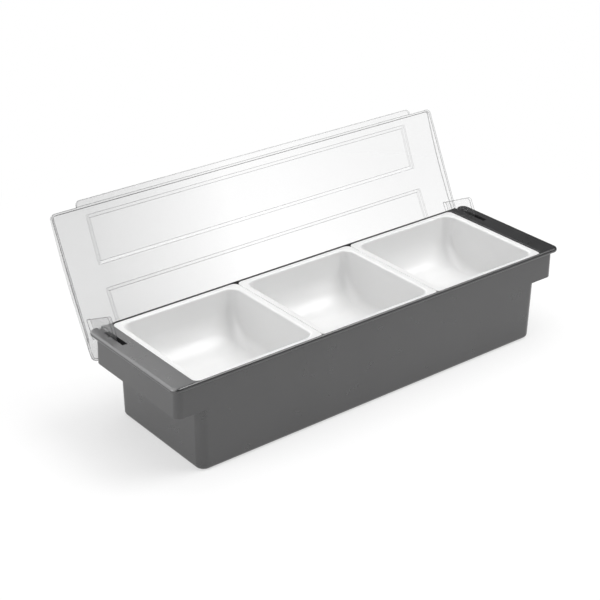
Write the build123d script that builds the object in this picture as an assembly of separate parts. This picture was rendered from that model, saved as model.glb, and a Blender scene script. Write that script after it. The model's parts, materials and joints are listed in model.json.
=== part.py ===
from build123d import *
import os
from math import hypot, radians, sqrt, tan

# Condiment caddy: three white inserts hang in the rim of a dark tray that takes ice
# below them, and one clear lid swings over them all on two gooseneck arms.
# Millimetres. X runs along the caddy, Y to its back, Z up; the origin is the middle
# of the footprint. The lid is modelled shut and then swung open, which is its rest.

# Tray, rim and ledges
rim_length = 470.0
rim_width = 139.1
rim_height = 94.9  # top of the rim above the table
rim_corner = 7.0
rim_lip = 4.8  # height of the rim's outer face
rim_round = 2.4  # outer top edge, which the lid's back edge swings round
rim_foot_round = 2.2  # outer bottom edge of the lip
rim_land = 2.0  # top of the rim beside the inserts, front and back
ledge_width = 23.0  # top of the rim past the inserts, left and right
ledge_thickness = 3.5
lip_overhang = 3.4  # lip past the long walls
end_overhang = 5.1  # lip past the end skirts
opening_corner = 6.5

# Tray, body and end skirts
tray_wall = 2.6
tray_floor = 3.0
wall_draft = 0.7  # degrees, long walls
end_draft = 0.8  # degrees, end walls
body_corner = 9.0
body_foot_round = 4.0
ice_floor_round = 5.0
end_shelf = 6.6  # from the inside of the end wall out to the end of the opening
skirt_drop = 32.2  # from the top of the rim to the bottom of an end skirt
skirt_wall = 2.2
skirt_flare = 1.5  # degrees
skirt_corner = 7.0
gusset_places = (-48.0, 18.0)
gusset_thickness = 2.2
gusset_drop = 16.0
gusset_root = 3.0  # height of a gusset's outer end

# Inserts
insert_count = 3
insert_clearance = 0.5  # front and back
insert_end_clearance = 0.9
insert_gap = 0.55
insert_recess = 1.1  # flange below the top of the rim
flange_thickness = 2.0
flange_width = 8.2
flange_corner = 5.5
flange_round = 0.6
mouth_round = 4.4
insert_depth = 52.0
insert_wall = 2.0
insert_taper = 4.0  # degrees
bowl_corner = 18.0  # upright corners and the ends' lower edges
bowl_foot_round = 32.0  # front and back lower edges

# Lid
lid_end_inset = 2.8  # ends of the lid in from the rim's ends
lid_gap = 0.3  # between the shut lid and the rim
lid_back_rise = 0.8  # how much further the back edge stands off the rim
lid_thickness = 2.0
lid_skirt = 4.3  # depth of the long edges
lid_arch = 3.8
lid_corner = 5.0
lid_swing_gap = 0.28  # from the rim's back edge to the end walls as they swing past it
lid_round = 1.5
panel_width = 41.0
panel_margin = 12.0  # from the front edge to the first panel
panel_gap = 28.6  # between the two panels
panel_end_margin = 39.7  # from an end to a panel
panel_rise = 1.3
panel_slope = 3.0
thumb_reach = 6.0
thumb_end_margin = 27.5  # from an end of the lid to the strip
thumb_thickness = 2.5
thumb_corner = 5.0
thumb_round = 0.8

# Hinge
hinge_setback = 12.25  # pin in from the rim's back edge
hinge_drop = 14.9  # pin below the top of the rim
open_angle = 116.2  # degrees
slot_width = 5.2
slot_length = 30.0
slot_front = 32.1  # from the pin forward to the slot's front end
slot_margin = 0.3  # from a cheek to the slot
arm_thickness = 3.2
arm_front = 26.0  # from the pin forward to the arm's front edge
arm_bottom = 21.7  # from the pin down to the arm's lower edge
arm_heel = 5.0  # lower edge ends this far in front of the pin
arm_neck = 7.5  # upper part of the arm ends this far in front of the pin
arm_toe_round = 4.0
hub_radius = 5.0
neck_inner = 10.4  # radii of the arm's curved mouth, which passes the ledge
neck_outer = 16.7
neck_end = 211.0  # degrees, from the back horizontal up and over to the front
saddle_clearance = 0.5
pin_radius = 2.5
pin_clearance = 0.08
pin_head_radius = 4.2
pin_head_thickness = 1.6
pin_head_recess = 2.4  # how deep a cheek takes the pin's head
pin_head_gap = 0.2  # under and round the head
pin_tip_gap = 0.2
pin_chamfer = 0.6
pin_exit = 0.4  # room between a pulled pin and the arm
cheek_thickness = 5.4
cheek_front = 6.5  # from the pin forward
cheek_drop = 6.5  # from the pin down
cheek_round = 4.0
boss_radius = 4.8
boss_gap = 0.5
boss_skin = 2.6  # left outside the blind hole

# Heights and half sizes that follow
overlap = 1.0  # how far a cutting or joining body runs past a face
lip_bottom = rim_height - rim_lip
ledge_bottom = rim_height - ledge_thickness
skirt_bottom = rim_height - skirt_drop
flange_top = rim_height - insert_recess
shelf_top = flange_top - flange_thickness
shelf_bottom = shelf_top - tray_wall
opening_half_length = rim_length / 2 - ledge_width
opening_half_width = rim_width / 2 - rim_land
riser_outer = opening_half_length + tray_wall
body_half_length = opening_half_length - end_shelf + tray_wall
body_half_width = rim_width / 2 - lip_overhang
skirt_half_length = rim_length / 2 - end_overhang
cheek_outer = riser_outer + cheek_thickness
slot_middle = cheek_outer + slot_margin + slot_width / 2
arm_inner = slot_middle - arm_thickness / 2
arm_outer = slot_middle + arm_thickness / 2
pin_y = rim_width / 2 - hinge_setback
pin_z = rim_height - hinge_drop
hinge_axis = Axis((0, pin_y, pin_z), (1, 0, 0))
slot_rear_y = pin_y - slot_front + slot_length
lid_plane = rim_height + lid_gap
lid_length = rim_length - 2 * lid_end_inset
lid_width = rim_width
arch_radius = ((lid_width / 2) ** 2 + lid_arch**2) / (2 * lid_arch)


def half_width_at(z, inset=0.0):
    """Half width of the drafted long walls at height z."""
    return body_half_width - inset - (lip_bottom - z) * tan(radians(wall_draft))


def body_half_length_at(z, inset=0.0):
    return body_half_length - inset - (lip_bottom - z) * tan(radians(end_draft))


def skirt_half_length_at(z, inset=0.0):
    """Half length of the flared end skirts at height z."""
    return skirt_half_length - inset + (lip_bottom - z) * tan(radians(skirt_flare))


def upright_edges(solid):
    """The edges that run mostly up and down."""
    return [e for e in solid.edges() if abs((e @ 1 - e @ 0).Z) > 0.7 * (e @ 1 - e @ 0).length]


def edges_at(solid, z):
    """The level edges at height z."""
    return solid.edges().filter_by_position(Axis.Z, z - 1e-4, z + 1e-4)


def slab(length, width, corner, bottom, top):
    """A flat plate with rounded corners."""
    return extrude(Plane.XY.offset(bottom) * RectangleRounded(length, width, corner), top - bottom)


def tapered_block(half_lengths, half_widths, bottom, top):
    """A block between two heights, each half size given at the bottom and at the top."""
    (low_x, high_x), (low_y, high_y) = half_lengths, half_widths
    reach = 2 * max(low_x, high_x, low_y, high_y)
    side = Polygon((-low_x, bottom), (low_x, bottom), (high_x, top), (-high_x, top), align=None)
    front = Polygon((-low_y, bottom), (low_y, bottom), (high_y, top), (-high_y, top), align=None)
    return extrude(Plane.XZ * side, reach, both=True) & extrude(Plane.YZ * front, reach, both=True)


def body_block(bottom, top, inset, corner):
    block = tapered_block(
        [body_half_length_at(z, inset) for z in (bottom, top)],
        [half_width_at(z, inset) for z in (bottom, top)],
        bottom, top,
    )
    return fillet(upright_edges(block), corner)


def skirt_block(bottom, top, inset, corner):
    block = tapered_block(
        [skirt_half_length_at(z, inset) for z in (bottom, top)],
        [half_width_at(z, inset) for z in (bottom, top)],
        bottom, top,
    )
    return fillet(upright_edges(block), corner)


def rim_block():
    """The whole rim, filled, with its rolled edge."""
    rim = slab(rim_length, rim_width, rim_corner, lip_bottom, rim_height)
    rim = fillet(edges_at(rim, rim_height), rim_round)
    return fillet(edges_at(rim, lip_bottom), rim_foot_round)


def finger_space(body):
    """The hollow inside both end skirts, open below, where fingers go to lift the caddy."""
    below = skirt_block(skirt_bottom - overlap, shelf_bottom, skirt_wall, skirt_corner - skirt_wall)
    above = skirt_block(shelf_bottom, ledge_bottom, skirt_wall, skirt_corner - skirt_wall)
    above -= slab(2 * riser_outer, 2 * rim_width, tray_wall, shelf_bottom - overlap, rim_height)
    return (below - body) + above


def gusset(side, y):
    """A rib between the end wall and the ledge."""
    inner = body_half_length_at(shelf_bottom) - tray_wall / 2
    outer = skirt_half_length_at(ledge_bottom, skirt_wall / 2)
    under_shelf = shelf_bottom + tray_wall / 3
    under_ledge = ledge_bottom + ledge_thickness / 3
    riser = riser_outer - tray_wall / 3
    outline = Polygon(
        (inner, shelf_bottom - gusset_drop), (outer, ledge_bottom - gusset_root),
        (outer, under_ledge), (riser, under_ledge), (riser, under_shelf), (inner, under_shelf),
        align=None,
    )
    rib = Pos(0, y, 0) * extrude(Plane.XZ * outline, gusset_thickness / 2, both=True)
    return rib if side > 0 else mirror(rib, Plane.YZ)


def along_x(radius, start, end):
    """A round bar on the hinge's axis, between two distances from the middle."""
    return extrude(Plane.YZ.offset(start) * Pos(pin_y, pin_z) * Circle(radius), end - start)


def blind_end():
    """Where the hole in an end skirt stops."""
    return skirt_half_length_at(pin_z) - boss_skin


def hinge_bearing():
    """The right-hand cheek under the ledge, and the boss on the skirt facing it."""
    back = half_width_at(pin_z) - skirt_wall / 2
    front = pin_y - cheek_front
    low = pin_z - cheek_drop
    outline = Polygon(
        (front, low), (back, low), (back, ledge_bottom + overlap), (front, ledge_bottom + overlap),
        align=None,
    )
    outline = fillet(outline.vertices().sort_by_distance((front, low))[0], cheek_round)
    cheek = extrude(Plane.YZ.offset(riser_outer) * outline, cheek_thickness)
    boss = along_x(boss_radius, arm_outer + boss_gap, blind_end() + boss_skin / 2)
    return cheek + boss


def hinge_openings():
    """Cut on the right: the arm's slot, the saddle behind it and the pin's holes."""
    slot_box = Pos(slot_middle, slot_rear_y - slot_length / 2, rim_height) * Box(
        slot_width, slot_length, 2 * ledge_thickness + overlap
    )
    saddle_radius = neck_outer - saddle_clearance
    saddle = Pos(slot_middle, slot_rear_y, pin_z) * Box(
        slot_width, rim_width, rim_height - pin_z + overlap,
        align=(Align.CENTER, Align.MIN, Align.MIN),
    )
    saddle -= along_x(saddle_radius, slot_middle - slot_width, slot_middle + slot_width)
    bore = along_x(pin_radius + pin_clearance, riser_outer - overlap, blind_end())
    head_seat = along_x(
        pin_head_radius + pin_head_gap, riser_outer - overlap, riser_outer + pin_head_recess
    )
    return slot_box + saddle + bore + head_seat


def tray():
    body = body_block(0, lip_bottom + overlap, 0, body_corner)
    body = fillet(edges_at(body, 0), body_foot_round)
    shell = body + skirt_block(skirt_bottom, lip_bottom + overlap, 0, skirt_corner) + rim_block()
    ice_space = body_block(tray_floor, rim_height, tray_wall, body_corner - tray_wall)
    ice_space = fillet(edges_at(ice_space, tray_floor), ice_floor_round)
    ice_space &= slab(rim_length, rim_width, rim_corner, 0, shelf_top + overlap)
    opening = slab(
        2 * opening_half_length, 2 * opening_half_width, opening_corner, shelf_top, rim_height + overlap
    )
    shell = shell - ice_space - opening - finger_space(body)
    for side in (-1, 1):
        for y in gusset_places:
            shell += gusset(side, y)
    shell += hinge_bearing() + mirror(hinge_bearing(), Plane.YZ)
    return shell - hinge_openings() - mirror(hinge_openings(), Plane.YZ)


def insert_flange_size():
    length = 2 * (opening_half_length - insert_end_clearance) - (insert_count - 1) * insert_gap
    return length / insert_count, 2 * (opening_half_width - insert_clearance)


def bowl_block(mouth_length, mouth_width, bottom, top, corner, foot_round):
    """A tapered trough, filled, whose mouth size is that at the top of the flange."""
    slope = tan(radians(insert_taper))
    lengths = [mouth_length / 2 - (flange_top - z) * slope for z in (bottom, top)]
    widths = [mouth_width / 2 - (flange_top - z) * slope for z in (bottom, top)]
    bowl = tapered_block(lengths, widths, bottom, top)
    bowl = fillet(edges_at(bowl, bottom).filter_by(Axis.X), foot_round)
    ends = bowl.faces().sort_by(Axis.X)
    rim = edges_at(bowl, top)
    return fillet([e for face in (ends[0], ends[-1]) for e in face.edges() if e not in rim], corner)


def insert(index):
    """One hanging insert, counted from the left."""
    length, width = insert_flange_size()
    mouth_length = length - 2 * flange_width
    mouth_width = width - 2 * flange_width
    bottom = flange_top - insert_depth
    flange = slab(length, width, flange_corner, shelf_top, flange_top)
    flange = fillet(edges_at(flange, flange_top), flange_round)
    outside = bowl_block(
        mouth_length + 2 * insert_wall, mouth_width + 2 * insert_wall,
        bottom, shelf_top + flange_thickness / 2, bowl_corner, bowl_foot_round,
    )
    inside = bowl_block(
        mouth_length, mouth_width, bottom + insert_wall, flange_top + overlap,
        bowl_corner - insert_wall, bowl_foot_round - insert_wall,
    )
    piece = flange + outside - inside
    mouth = [
        e for e in edges_at(piece, flange_top)
        if abs((e @ 0.5).X) < length / 2 - flange_width / 2
        and abs((e @ 0.5).Y) < width / 2 - flange_width / 2
    ]
    piece = fillet(mouth, mouth_round)
    return Pos((index - (insert_count - 1) / 2) * (length + insert_gap), 0, 0) * piece


def plate_height(y, depth=0.0):
    """Height of the shut lid's arched plate at y, this deep below its outer face."""
    middle = lid_plane + lid_skirt + lid_arch - arch_radius
    return middle + sqrt((arch_radius - depth) ** 2 - y**2)


def arched_block(length, width, depth, corner, below=0.0):
    """The lid's outer or inner form, filled, down to its sloping free edge."""
    half = width / 2
    front, back = lid_plane - below, lid_plane + lid_back_rise - below
    edge = plate_height(half, depth)
    sides = Polyline((-half, edge), (-half, front), (half, back), (half, edge))
    arch = ThreePointArc((-half, edge), (0, plate_height(0, depth)), (half, edge))
    block = extrude(Plane.YZ * make_face([*sides.edges(), *arch.edges()]), length / 2, both=True)
    return fillet(upright_edges(block), corner)


def panel_section(x, front, back, raised, depth, floor):
    """One upright section across a raised panel."""
    top = -panel_rise if raised else 0.0
    foot_front, foot_back = front - panel_slope, back + panel_slope
    tops = [plate_height(y, depth + top) for y in (front, (front + back) / 2, back)]
    feet = [plate_height(y, depth) for y in (foot_front, foot_back)]
    line = Polyline(
        (front, tops[0]), (foot_front, feet[0]), (foot_front, floor),
        (foot_back, floor), (foot_back, feet[1]), (back, tops[2]),
    )
    arch = ThreePointArc((front, tops[0]), ((front + back) / 2, tops[1]), (back, tops[2]))
    return Plane.YZ.offset(x) * make_face([*line.edges(), *arch.edges()])


def raised_panel(front, depth, floor):
    """One panel with four sloped sides, standing up from the arched plate."""
    back = front + panel_width
    flat = lid_length / 2 - panel_end_margin
    foot = flat + panel_slope
    places = [(-foot, False), (-flat, True), (flat, True), (foot, False)]
    return loft([panel_section(x, front, back, up, depth, floor) for x, up in places], ruled=True)


def lid_panels(depth, floor):
    first = panel_margin - lid_width / 2
    second = first + panel_width + panel_gap
    return raised_panel(first, depth, floor) + raised_panel(second, depth, floor)


def thumb_strip():
    """The strip along the front edge by which the lid is lifted."""
    length = lid_length - 2 * thumb_end_margin
    strip = slab(length, 2 * thumb_reach, thumb_corner, lid_plane, lid_plane + thumb_thickness)
    strip = fillet(edges_at(strip, lid_plane) + edges_at(strip, lid_plane + thumb_thickness), thumb_round)
    return Pos(0, -lid_width / 2, 0) * strip


def end_wall_relief():
    """Cut on the right, so that the lid's end wall swings clear of the rim's back edge."""
    rim_reach = hypot(hinge_setback - rim_round, hinge_drop - rim_round) + rim_round
    return along_x(rim_reach + lid_swing_gap, lid_length / 2 - lid_corner, rim_length / 2)


def hinge_arm():
    """The right-hand gooseneck, seen along the hinge, in the shut lid's place."""
    top = plate_height(0) - pin_z
    outline = Polygon(
        (-arm_front, top), (-arm_front, -arm_bottom), (-arm_heel, -arm_bottom),
        (hub_radius, 0), (-(neck_inner + neck_outer) / 2, 0), (-arm_neck, arm_neck), (-arm_neck, top),
        align=None,
    )
    outline = fillet(outline.vertices().sort_by_distance((-arm_front, -arm_bottom))[0], arm_toe_round)
    outline = fillet(outline.vertices().sort_by_distance((-arm_heel, -arm_bottom))[0], arm_toe_round)
    mouth = CenterArc((0, 0), (neck_inner + neck_outer) / 2, -20, neck_end + 20)
    outline = outline + Circle(hub_radius) - SlotArc(mouth, neck_outer - neck_inner)
    outline -= Circle(pin_radius + pin_clearance)
    return extrude(Plane.YZ.offset(arm_inner) * Pos(pin_y, pin_z) * outline, arm_thickness)


def lid():
    outer = arched_block(lid_length, lid_width, 0, lid_corner)
    crown = [e for e in outer.edges() if min((e @ t).Z for t in (0, 0.5, 1)) > lid_plane + lid_skirt - 1e-3]
    outer = fillet(crown, lid_round)
    hollow = arched_block(
        lid_length - 2 * lid_thickness, lid_width - 2 * lid_thickness, lid_thickness,
        lid_corner - lid_thickness, overlap,
    )
    floor = lid_plane + lid_skirt / 2
    cover = outer + thumb_strip() + lid_panels(0, floor + lid_thickness / 2)
    cover -= hollow + lid_panels(lid_thickness, floor)
    cover -= end_wall_relief() + mirror(end_wall_relief(), Plane.YZ)
    below = slab(2 * rim_length, 2 * rim_width, rim_corner, 0, lid_plane + lid_back_rise)
    arm = hinge_arm() & (outer + below)
    cover += arm + mirror(arm, Plane.YZ)
    return cover.rotate(hinge_axis, -open_angle)


def hinge_pin(side):
    """A headed pin, pushed outwards from the finger space."""
    head_outer = riser_outer + pin_head_recess - pin_head_gap
    head_inner = head_outer - pin_head_thickness
    head = along_x(pin_head_radius, head_inner, head_outer)
    head = fillet(head.edges().filter_by(GeomType.CIRCLE).sort_by(Axis.X)[0], pin_head_thickness / 3)
    shaft = along_x(pin_radius, head_inner + pin_head_thickness / 2, blind_end() - pin_tip_gap)
    shaft = chamfer(shaft.edges().filter_by(GeomType.CIRCLE).sort_by(Axis.X)[-1], pin_chamfer)
    pin = head + shaft
    return pin if side > 0 else mirror(pin, Plane.YZ)


def pin_travel():
    """How far a pin is pulled inwards to free the arm."""
    return blind_end() - pin_tip_gap - (arm_inner - pin_exit)


pieces = {
    "tray": tray(),
    "insert_left": insert(0),
    "insert_centre": insert(1),
    "insert_right": insert(2),
    "lid": lid(),
    "hinge_pin_left": hinge_pin(-1),
    "hinge_pin_right": hinge_pin(1),
}

os.makedirs("parts", exist_ok=True)
for name, piece in pieces.items():
    export_step(piece, f"parts/{name}.step")
print("pin axis y", round(pin_y, 3), "z", round(pin_z, 3), "pin travel", round(pin_travel(), 3))
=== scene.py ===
import json
from math import radians, tan

import bmesh
import bpy
from mathutils import Euler, Matrix, Vector

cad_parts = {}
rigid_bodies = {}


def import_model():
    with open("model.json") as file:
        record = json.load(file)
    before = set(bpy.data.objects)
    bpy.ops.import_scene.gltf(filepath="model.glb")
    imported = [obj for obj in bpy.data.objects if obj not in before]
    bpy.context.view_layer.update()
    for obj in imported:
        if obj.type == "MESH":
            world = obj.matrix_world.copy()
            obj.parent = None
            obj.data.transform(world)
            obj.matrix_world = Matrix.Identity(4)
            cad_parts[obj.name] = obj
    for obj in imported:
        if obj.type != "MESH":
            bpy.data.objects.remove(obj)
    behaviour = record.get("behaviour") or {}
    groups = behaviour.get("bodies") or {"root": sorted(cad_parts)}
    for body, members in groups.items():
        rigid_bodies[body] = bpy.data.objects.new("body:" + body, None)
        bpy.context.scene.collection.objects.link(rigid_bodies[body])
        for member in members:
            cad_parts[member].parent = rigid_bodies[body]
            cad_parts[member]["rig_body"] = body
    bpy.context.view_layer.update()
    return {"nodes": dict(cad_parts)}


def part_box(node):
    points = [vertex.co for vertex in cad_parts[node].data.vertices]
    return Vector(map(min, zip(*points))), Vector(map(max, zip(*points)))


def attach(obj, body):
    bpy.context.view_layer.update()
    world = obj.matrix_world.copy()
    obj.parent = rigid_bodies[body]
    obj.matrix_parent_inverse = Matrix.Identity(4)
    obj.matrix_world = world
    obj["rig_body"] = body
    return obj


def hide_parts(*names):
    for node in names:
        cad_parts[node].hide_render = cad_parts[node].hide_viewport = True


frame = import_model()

scene = bpy.context.scene
print("frame loaded:", sorted(frame["nodes"]))


def deselectAll():
    bpy.ops.object.select_all(action="DESELECT")


def makeActive(piece):
    deselectAll()
    piece.select_set(True)
    bpy.context.view_layer.objects.active = piece


def newMaterial(name):
    material = bpy.data.materials.new(name)
    material.use_nodes = True
    material.node_tree.nodes.clear()
    output = material.node_tree.nodes.new("ShaderNodeOutputMaterial")
    return material, material.node_tree, output


def addNode(tree, kind, **inputs):
    node = tree.nodes.new("ShaderNode" + kind)
    for name, value in inputs.items():
        node.inputs[name.replace("_", " ")].default_value = value
    return node


def noise(tree, scale, detail, roughness=0.5):
    place = tree.nodes.new("ShaderNodeTexCoord")
    node = addNode(tree, "TexNoise", Scale=scale, Detail=detail, Roughness=roughness)
    tree.links.new(place.outputs["Object"], node.inputs["Vector"])
    return node.outputs["Fac"]


def ranged(tree, value, low, high, fromLow=0.3, fromHigh=0.7):
    node = tree.nodes.new("ShaderNodeMapRange")
    node.inputs["From Min"].default_value = fromLow
    node.inputs["From Max"].default_value = fromHigh
    node.inputs["To Min"].default_value = low
    node.inputs["To Max"].default_value = high
    tree.links.new(value, node.inputs["Value"])
    return node.outputs["Result"]


def shades(tree, value, dark, light):
    node = tree.nodes.new("ShaderNodeMix")
    node.data_type = "RGBA"
    node.inputs["A"].default_value = (*dark, 1)
    node.inputs["B"].default_value = (*light, 1)
    tree.links.new(value, node.inputs["Factor"])
    return node.outputs["Result"]


def bump(tree, value, strength, distance):
    node = addNode(tree, "Bump", Strength=strength, Distance=distance)
    tree.links.new(value, node.inputs["Height"])
    return node.outputs["Normal"]


trayFinish = {
    "dark": (0.028, 0.028, 0.029),
    "light": (0.034, 0.034, 0.035),
    "gloss": 1.0,  # how much light the surface mirrors
    "roughness": (0.27, 0.31),
    "grainScale": 2600,
    "grainDepth": 0.00003,
}


def trayPlastic():
    material, tree, output = newMaterial("tray_plastic")
    skin = addNode(tree, "BsdfPrincipled")
    skin.inputs["Specular IOR Level"].default_value = trayFinish["gloss"]
    tint = shades(tree, ranged(tree, noise(tree, 14, 3), 0, 1), trayFinish["dark"], trayFinish["light"])
    tree.links.new(tint, skin.inputs["Base Color"])
    tree.links.new(ranged(tree, noise(tree, 60, 4), *trayFinish["roughness"]), skin.inputs["Roughness"])
    grain = bump(tree, noise(tree, trayFinish["grainScale"], 2), 0.35, trayFinish["grainDepth"])
    tree.links.new(grain, skin.inputs["Normal"])
    tree.links.new(skin.outputs["BSDF"], output.inputs["Surface"])
    return material


insertFinish = {
    "dark": (0.785, 0.785, 0.783),
    "light": (0.80, 0.80, 0.798),
    "roughness": 0.28,
    "through": 0.5,  # share of the light that enters the plastic
    "reach": 0.0035,  # how far it travels inside
}


def insertPlastic():
    material, tree, output = newMaterial("insert_plastic")
    skin = addNode(tree, "BsdfPrincipled")
    tint = shades(tree, ranged(tree, noise(tree, 9, 2), 0, 1), insertFinish["dark"], insertFinish["light"])
    tree.links.new(tint, skin.inputs["Base Color"])
    skin.inputs["Roughness"].default_value = insertFinish["roughness"]
    skin.inputs["Subsurface Weight"].default_value = insertFinish["through"]
    skin.inputs["Subsurface Radius"].default_value = (1, 1, 1)
    skin.inputs["Subsurface Scale"].default_value = insertFinish["reach"]
    tree.links.new(skin.outputs["BSDF"], output.inputs["Surface"])
    return material


lidFinish = {
    # grey of the sheet's haze, also used for the painted shade towards its ends and at its folds
    "hazeAndShade": (0.38, 0.382, 0.385),
    # dark colour painted as shade along the folds
    "fold": (0.03, 0.03, 0.031),
    "hazeMiddle": 0.015,  # share of haze on each face of the sheet
    "shadeLeft": 0.21,  # painted shade added towards the left end
    # painted shade added towards the right end
    "shadeRight": 0.05,
    "foldShade": 0.85,  # painted shade added where a fold bends the light away
    "hazeSteep": 0.25,  # added where the sheet is seen edge on
    "foldReach": 0.0008,
    "roughness": 0.12,
    "ior": 1.49,
}


def foldedEdges(tree, reach):
    rounded = tree.nodes.new("ShaderNodeBevel")
    rounded.samples = 6
    rounded.inputs["Radius"].default_value = reach
    surface = tree.nodes.new("ShaderNodeNewGeometry")
    turn = tree.nodes.new("ShaderNodeVectorMath")
    turn.operation = "DOT_PRODUCT"
    tree.links.new(rounded.outputs["Normal"], turn.inputs[0])
    tree.links.new(surface.outputs["True Normal"], turn.inputs[1])
    return ranged(tree, turn.outputs["Value"], 0, 1, fromLow=0.999, fromHigh=0.975)


def added(tree, values):
    total = values[0]
    for value in values[1:]:
        node = tree.nodes.new("ShaderNodeMath")
        node.operation = "ADD"
        tree.links.new(total, node.inputs[0])
        tree.links.new(value, node.inputs[1])
        total = node.outputs[0]
    return total


def lidPlastic():
    material, tree, output = newMaterial("lid_clear")
    sheet = addNode(tree, "BsdfPrincipled")
    folds = foldedEdges(tree, lidFinish["foldReach"])
    tint = shades(tree, folds, lidFinish["hazeAndShade"], lidFinish["fold"])
    tree.links.new(tint, sheet.inputs["Base Color"])
    sheet.inputs["Roughness"].default_value = lidFinish["roughness"]
    sheet.inputs["IOR"].default_value = lidFinish["ior"]
    clear = addNode(tree, "BsdfTransparent")
    place = tree.nodes.new("ShaderNodeTexCoord")
    along = tree.nodes.new("ShaderNodeSeparateXYZ")
    tree.links.new(place.outputs["Object"], along.inputs["Vector"])
    steep = tree.nodes.new("ShaderNodeLayerWeight")
    steep.inputs["Blend"].default_value = 0.5
    # grey share of the sheet: real haze in the middle, painted shade towards the ends and along the folds,
    # and more where the sheet is seen edge on
    hazeAndShade = added(tree, [
        ranged(tree, along.outputs["X"], lidFinish["shadeLeft"] + lidFinish["hazeMiddle"],
               lidFinish["hazeMiddle"], fromLow=-0.19, fromHigh=-0.04),
        ranged(tree, along.outputs["X"], 0, lidFinish["shadeRight"], fromLow=0.02, fromHigh=0.17),
        ranged(tree, folds, 0, lidFinish["foldShade"], 0, 1),
        ranged(tree, steep.outputs["Facing"], 0, lidFinish["hazeSteep"], fromLow=0.62, fromHigh=1),
    ])
    # light that the moulding would throw on its neighbours as bright specks is left out
    seen = tree.nodes.new("ShaderNodeMath")
    seen.operation = "SUBTRACT"
    seen.use_clamp = True
    path = tree.nodes.new("ShaderNodeLightPath")
    tree.links.new(hazeAndShade, seen.inputs[0])
    tree.links.new(path.outputs["Is Diffuse Ray"], seen.inputs[1])
    both = tree.nodes.new("ShaderNodeMixShader")
    tree.links.new(seen.outputs[0], both.inputs["Fac"])
    tree.links.new(clear.outputs["BSDF"], both.inputs[1])
    tree.links.new(sheet.outputs["BSDF"], both.inputs[2])
    tree.links.new(both.outputs["Shader"], output.inputs["Surface"])
    return material


def pinSteel():
    material, tree, output = newMaterial("pin_steel")
    skin = addNode(tree, "BsdfPrincipled", Metallic=1.0)
    tint = shades(tree, ranged(tree, noise(tree, 300, 3), 0, 1), (0.52, 0.52, 0.53), (0.66, 0.66, 0.67))
    tree.links.new(tint, skin.inputs["Base Color"])
    tree.links.new(ranged(tree, noise(tree, 900, 2), 0.28, 0.42), skin.inputs["Roughness"])
    tree.links.new(skin.outputs["BSDF"], output.inputs["Surface"])
    return material


skins = {
    "tray": {"name": "trayMoulding", "finish": trayPlastic(), "slot": "tray_plastic", "crease": 32},
    "lid": {"name": "lidMoulding", "finish": lidPlastic(), "slot": "lid_clear", "crease": 0},
    "hinge_pin_left": {"name": "pinLeft", "finish": pinSteel(), "slot": "pin_steel", "crease": 35},
    "hinge_pin_right": {"name": "pinRight", "finish": pinSteel(), "slot": "pin_steel", "crease": 35},
}


def finishSkin(piece, crease):
    makeActive(piece)
    if piece.data.has_custom_normals:
        bpy.ops.mesh.customdata_custom_splitnormals_clear()
    if crease == 0:
        bpy.ops.object.shade_flat()
        return
    bpy.ops.object.shade_smooth_by_angle(angle=radians(crease))
    even = piece.modifiers.new("even", "WEIGHTED_NORMAL")
    even.keep_sharp = True
    even.weight = 100
    bpy.ops.object.modifier_apply(modifier=even.name)


def smoothSkin(nodeName, values):
    mesh = frame["nodes"][nodeName].data.copy()
    mesh.materials.clear()
    piece = bpy.data.objects.new(values["name"], mesh)
    scene.collection.objects.link(piece)
    makeActive(piece)
    bpy.ops.object.mode_set(mode="EDIT")
    bpy.ops.mesh.select_all(action="SELECT")
    bpy.ops.mesh.remove_doubles(threshold=2e-6)
    bpy.ops.object.mode_set(mode="OBJECT")
    finishSkin(piece, values["crease"])
    mesh = piece.data
    mesh.materials.append(values["finish"])
    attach(piece, frame["nodes"][nodeName]["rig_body"])
    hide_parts(nodeName)
    return piece


for nodeName, values in skins.items():
    smoothSkin(nodeName, values)
print("mouldings made:", len(skins))


insertShape = {
    "flangeThickness": 0.002,
    "flangeCorner": 0.0055,
    "flangeRound": 0.0005,
    "endFlange": 0.0066,  # from the flange's outer edge to the inside of an end wall
    "sideFlange": 0.0054,
    "endWall": 0.0006,  # the tray leaves no room for more at the top of the ends
    "sideWall": 0.0015,
    "floorWall": 0.0018,
    "endTaper": 5.0,  # degrees
    "sideTaper": 4.0,
    "footRound": 0.030,  # between the long walls and the floor
    "cornerRound": 0.010,  # round each end wall
    "mouthRound": 0.0018,
    "crease": 35,
}


def pickEdges(piece, wanted):
    edit = bmesh.from_edit_mesh(piece.data)
    bpy.ops.mesh.select_all(action="DESELECT")
    for edge in edit.edges:
        if wanted(edge):
            edge.select_set(True)
    bmesh.update_edit_mesh(piece.data)


def addBlock(low, high):
    deselectAll()
    middle = (low + high) / 2
    bpy.ops.mesh.primitive_cube_add(size=1, location=middle, scale=high - low)
    bpy.ops.object.transform_apply(location=True, rotation=False, scale=True)
    return bpy.context.object


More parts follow.
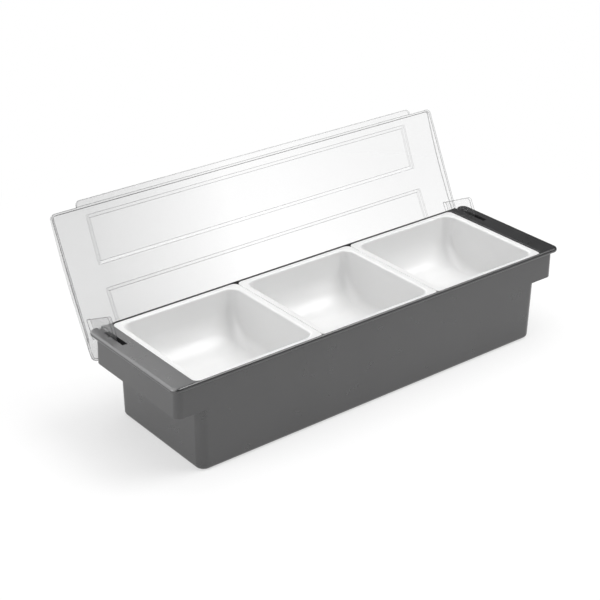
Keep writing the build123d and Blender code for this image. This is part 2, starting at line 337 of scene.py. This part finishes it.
def addBowl(low, high, endRound, footRound):
    # low and high bound the mouth and the depth: the walls lean in on the way down
    piece = addBlock(low, high)
    depth = (high - low).z
    leanX, leanY = (depth * tan(radians(insertShape[name])) for name in ("endTaper", "sideTaper"))
    half = (high - low) / 2
    bpy.ops.object.mode_set(mode="EDIT")
    bpy.ops.mesh.select_mode(type="EDGE")
    pickEdges(piece, lambda edge: all(vertex.co.z < low.z + depth / 2 for vertex in edge.verts))
    bpy.ops.transform.resize(
        value=(1 - leanX / half.x, 1 - leanY / half.y, 1), center_override=((low + high) / 2)[:]
    )
    pickEdges(piece, lambda edge: all(vertex.co.z < low.z + depth / 2 for vertex in edge.verts)
              and abs((edge.verts[0].co - edge.verts[1].co).x) > half.x)
    bpy.ops.mesh.bevel(offset=footRound, offset_type="OFFSET", segments=10, profile=0.5)
    pickEdges(piece, lambda edge: any(abs(face.normal.x) > 0.9 for face in edge.link_faces)
              and any(vertex.co.z < high.z - depth / 50 for vertex in edge.verts))
    bpy.ops.mesh.bevel(offset=endRound, offset_type="OFFSET", segments=7, profile=0.5)
    bpy.ops.object.mode_set(mode="OBJECT")
    return piece


def combine(piece, other, operation):
    makeActive(piece)
    step = piece.modifiers.new(operation.lower(), "BOOLEAN")
    step.operation = operation
    step.solver = "EXACT"
    step.object = other
    bpy.ops.object.modifier_apply(modifier=step.name)
    bpy.data.objects.remove(other)


def modelInsert(low, high):
    shape = insertShape
    piece = addBlock(Vector((low.x, low.y, high.z - shape["flangeThickness"])), high)
    bpy.ops.object.mode_set(mode="EDIT")
    bpy.ops.mesh.select_mode(type="EDGE")
    pickEdges(piece, lambda edge: abs((edge.verts[0].co - edge.verts[1].co).z) > 1e-4)
    bpy.ops.mesh.bevel(offset=shape["flangeCorner"], offset_type="OFFSET", segments=7, profile=0.5)
    bpy.ops.object.mode_set(mode="OBJECT")
    flange = Vector((shape["endFlange"], shape["sideFlange"], 0))
    wall = Vector((shape["endWall"], shape["sideWall"], 0))
    rise = shape["flangeThickness"] / 2
    outside = addBowl(low + flange - wall, high - flange + wall - Vector((0, 0, rise)),
                      shape["cornerRound"] + shape["endWall"], shape["footRound"] + shape["floorWall"])
    combine(piece, outside, "UNION")
    floor = Vector((0, 0, shape["floorWall"]))
    inside = addBowl(low + flange + floor, high - flange + Vector((0, 0, rise)),
                     shape["cornerRound"], shape["footRound"])
    combine(piece, inside, "DIFFERENCE")
    bpy.ops.object.mode_set(mode="EDIT")
    bpy.ops.mesh.select_mode(type="EDGE")
    bpy.ops.mesh.select_all(action="SELECT")
    bpy.ops.mesh.remove_doubles(threshold=2e-6)
    inner = (high - low) / 2 - flange * 0.6
    centre = (low + high) / 2

    def atMouth(edge):
        return all(abs(vertex.co.z - high.z) < 1e-5 and abs(vertex.co.x - centre.x) < inner.x
                   and abs(vertex.co.y - centre.y) < inner.y for vertex in edge.verts)

    pickEdges(piece, atMouth)
    bpy.ops.mesh.bevel(offset=shape["mouthRound"], offset_type="OFFSET", segments=5, profile=0.5)
    pickEdges(piece, lambda edge: all(
        abs(vertex.co.z - high.z) < 1e-5 and (abs(vertex.co.x - centre.x) > inner.x
                                              or abs(vertex.co.y - centre.y) > inner.y)
        for vertex in edge.verts) and any(face.normal.z < 0.5 for face in edge.link_faces))
    bpy.ops.mesh.bevel(offset=shape["flangeRound"], offset_type="OFFSET", segments=3, profile=0.5)
    bpy.ops.object.mode_set(mode="OBJECT")
    finishSkin(piece, shape["crease"])
    return piece


def makeInserts():
    corners = {name: [Vector(corner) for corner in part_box(name)] for name in frame["nodes"]
               if name.startswith("insert_")}
    low, high = corners["insert_centre"]
    first = modelInsert(low, high)
    first.data.materials.append(insertPlastic())
    for nodeName, (ownLow, ownHigh) in corners.items():
        mesh = first.data.copy()
        mesh.transform(Matrix.Translation(ownLow - low))
        piece = bpy.data.objects.new("insert" + nodeName.split("_")[1].capitalize(), mesh)
        scene.collection.objects.link(piece)
        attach(piece, frame["nodes"][nodeName]["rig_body"])
        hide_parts(nodeName)
    bpy.data.objects.remove(first)


makeInserts()
print("inserts made")


studio = {
    "floorSize": 12.0,
    "floorGlow": 0.55,  # share of plain white in what the camera sees of the floor
    "fadeToWhite": (0.3, 0.6),  # metres from the middle over which the floor turns plain white
    "worldLight": 0.38,
    "brightSide": (-0.75, 0.6, 0.3),  # where the room that surfaces mirror is brightest
    "brightest": 3.0,
    "roomGrey": 0.02,
}


def anyRay(tree, *kinds):
    path = tree.nodes.new("ShaderNodeLightPath")
    result = path.outputs[kinds[0]]
    for kind in kinds[1:]:
        either = tree.nodes.new("ShaderNodeMath")
        either.operation = "MAXIMUM"
        tree.links.new(result, either.inputs[0])
        tree.links.new(path.outputs[kind], either.inputs[1])
        result = either.outputs[0]
    return result


def makeFloor():
    deselectAll()
    bpy.ops.mesh.primitive_plane_add(size=studio["floorSize"], location=(0, 0, -0.0002))
    floor = bpy.context.object
    floor.name = "floor"
    material, tree, output = newMaterial("floorPaper")
    paper = tree.nodes.new("ShaderNodeBsdfDiffuse")
    paper.inputs["Color"].default_value = (0.95, 0.95, 0.95, 1)
    glow = tree.nodes.new("ShaderNodeEmission")
    glow.inputs["Color"].default_value = (1, 1, 1, 1)
    place = tree.nodes.new("ShaderNodeTexCoord")
    away = tree.nodes.new("ShaderNodeVectorMath")
    away.operation = "LENGTH"
    tree.links.new(place.outputs["Object"], away.inputs[0])
    white = ranged(tree, away.outputs["Value"], studio["floorGlow"], 1, *studio["fadeToWhite"])
    share = tree.nodes.new("ShaderNodeMath")
    share.operation = "MULTIPLY"
    tree.links.new(anyRay(tree, "Is Camera Ray", "Is Glossy Ray", "Is Transmission Ray"), share.inputs[0])
    tree.links.new(white, share.inputs[1])
    both = tree.nodes.new("ShaderNodeMixShader")
    tree.links.new(share.outputs[0], both.inputs["Fac"])
    tree.links.new(paper.outputs["BSDF"], both.inputs[1])
    tree.links.new(glow.outputs["Emission"], both.inputs[2])
    tree.links.new(both.outputs["Shader"], output.inputs["Surface"])
    floor.data.materials.append(material)


def makeWorld():
    world = bpy.data.worlds.new("studio")
    world.use_nodes = True
    scene.world = world
    tree = world.node_tree
    tree.nodes.clear()
    output = tree.nodes.new("ShaderNodeOutputWorld")
    sky = tree.nodes.new("ShaderNodeBackground")
    sky.inputs["Color"].default_value = (1, 1, 1, 1)
    plain = tree.nodes.new("ShaderNodeMapRange")
    plain.inputs["To Min"].default_value = studio["worldLight"]
    plain.inputs["To Max"].default_value = 1
    tree.links.new(anyRay(tree, "Is Camera Ray", "Is Transmission Ray"), plain.inputs["Value"])
    look = tree.nodes.new("ShaderNodeTexCoord")
    towards = tree.nodes.new("ShaderNodeVectorMath")
    towards.operation = "DOT_PRODUCT"
    towards.inputs[1].default_value = studio["brightSide"]
    tree.links.new(look.outputs["Generated"], towards.inputs[0])
    room = ranged(tree, towards.outputs["Value"], studio["roomGrey"], studio["brightest"], 0.16, 0.30)
    chosen = tree.nodes.new("ShaderNodeMix")
    tree.links.new(anyRay(tree, "Is Glossy Ray"), chosen.inputs["Factor"])
    tree.links.new(plain.outputs["Result"], chosen.inputs["A"])
    tree.links.new(room, chosen.inputs["B"])
    tree.links.new(chosen.outputs["Result"], sky.inputs["Strength"])
    tree.links.new(sky.outputs["Background"], output.inputs["Surface"])


lamps = {
    "keyBox": {"place": (1.1, -0.7, 2.0), "aim": (0, 0, 0.05), "size": 1.3, "power": 30},
    "topBox": {"place": (0.1, 0.2, 2.3), "aim": (0, 0, 0.05), "size": 1.8, "power": 20, "mirrored": False},
    "sideBox": {"place": (-1.7, 0.2, 0.7), "aim": (0, 0, 0.05), "size": 1.0, "power": 10},
}


def makeLamps():
    for name, values in lamps.items():
        lamp = bpy.data.lights.new(name, "AREA")
        lamp.size = values["size"]
        lamp.energy = values["power"]
        holder = bpy.data.objects.new(name, lamp)
        scene.collection.objects.link(holder)
        holder.visible_glossy = values.get("mirrored", True)
        holder.location = values["place"]
        look = Vector(values["aim"]) - Vector(values["place"])
        holder.rotation_euler = look.to_track_quat("-Z", "Y").to_euler()


makeFloor()
makeWorld()
makeLamps()
scene.view_settings.view_transform = "Standard"
print("studio ready")


view = {
    "place": (-0.8288, -0.9806, 0.7293),
    "yaw": 38.627,  # degrees from straight back towards the right
    "pitch": 26.843,  # degrees down
    "roll": 0.381,
    "lens": 89.88,
}


def makeCamera():
    data = bpy.data.cameras.new("photoCamera")
    data.lens = view["lens"]
    data.sensor_width = 36
    data.clip_end = 50
    camera = bpy.data.objects.new("photoCamera", data)
    scene.collection.objects.link(camera)
    turn = Euler((radians(90 - view["pitch"]), 0, radians(-view["yaw"]))).to_matrix()
    turn = turn @ Matrix.Rotation(radians(view["roll"]), 3, "Z")
    camera.matrix_world = Matrix.Translation(view["place"]) @ turn.to_4x4()
    scene.camera = camera


makeCamera()
print("camera set")
